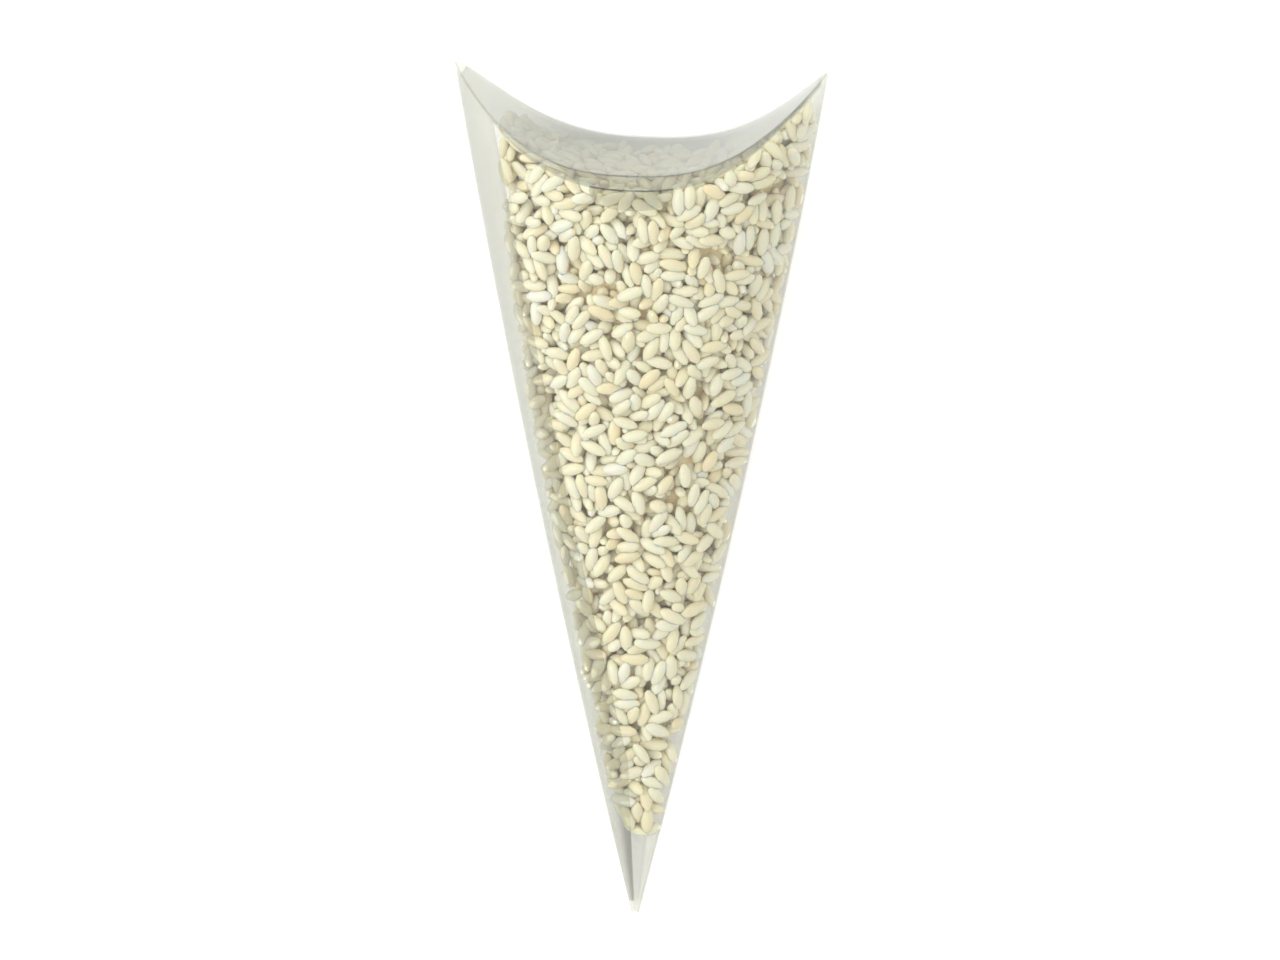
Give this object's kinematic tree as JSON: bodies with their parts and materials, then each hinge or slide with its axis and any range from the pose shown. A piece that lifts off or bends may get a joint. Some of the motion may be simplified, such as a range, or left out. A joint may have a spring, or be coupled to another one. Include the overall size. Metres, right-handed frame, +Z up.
{
  "type": "favour cone",
  "caption": "Clear film favour cone filled with white rice: bulged panels run from a blunt tip to raised horns, closed by a sunken lid of curved flaps.",
  "frame": {"origin": "centre of the footprint on the ground, as the cone lies on its back panel", "axes": "+Y runs from the tip to the lid, +X to the right seen from above, +Z up out of the front panel"},
  "size_m": [0.08, 0.1892, 0.0351],
  "materials": {
    "clear_film": "clear rigid PVC film, smooth and glossy, slightly grey at its edges and scores",
    "white_rice": "milled white rice, creamy and slightly translucent, with a soft sheen"
  },
  "bodies": {
    "root": {"cone_film": "clear_film", "rice_fill": "white_rice"}
  },
  "joints": []
}
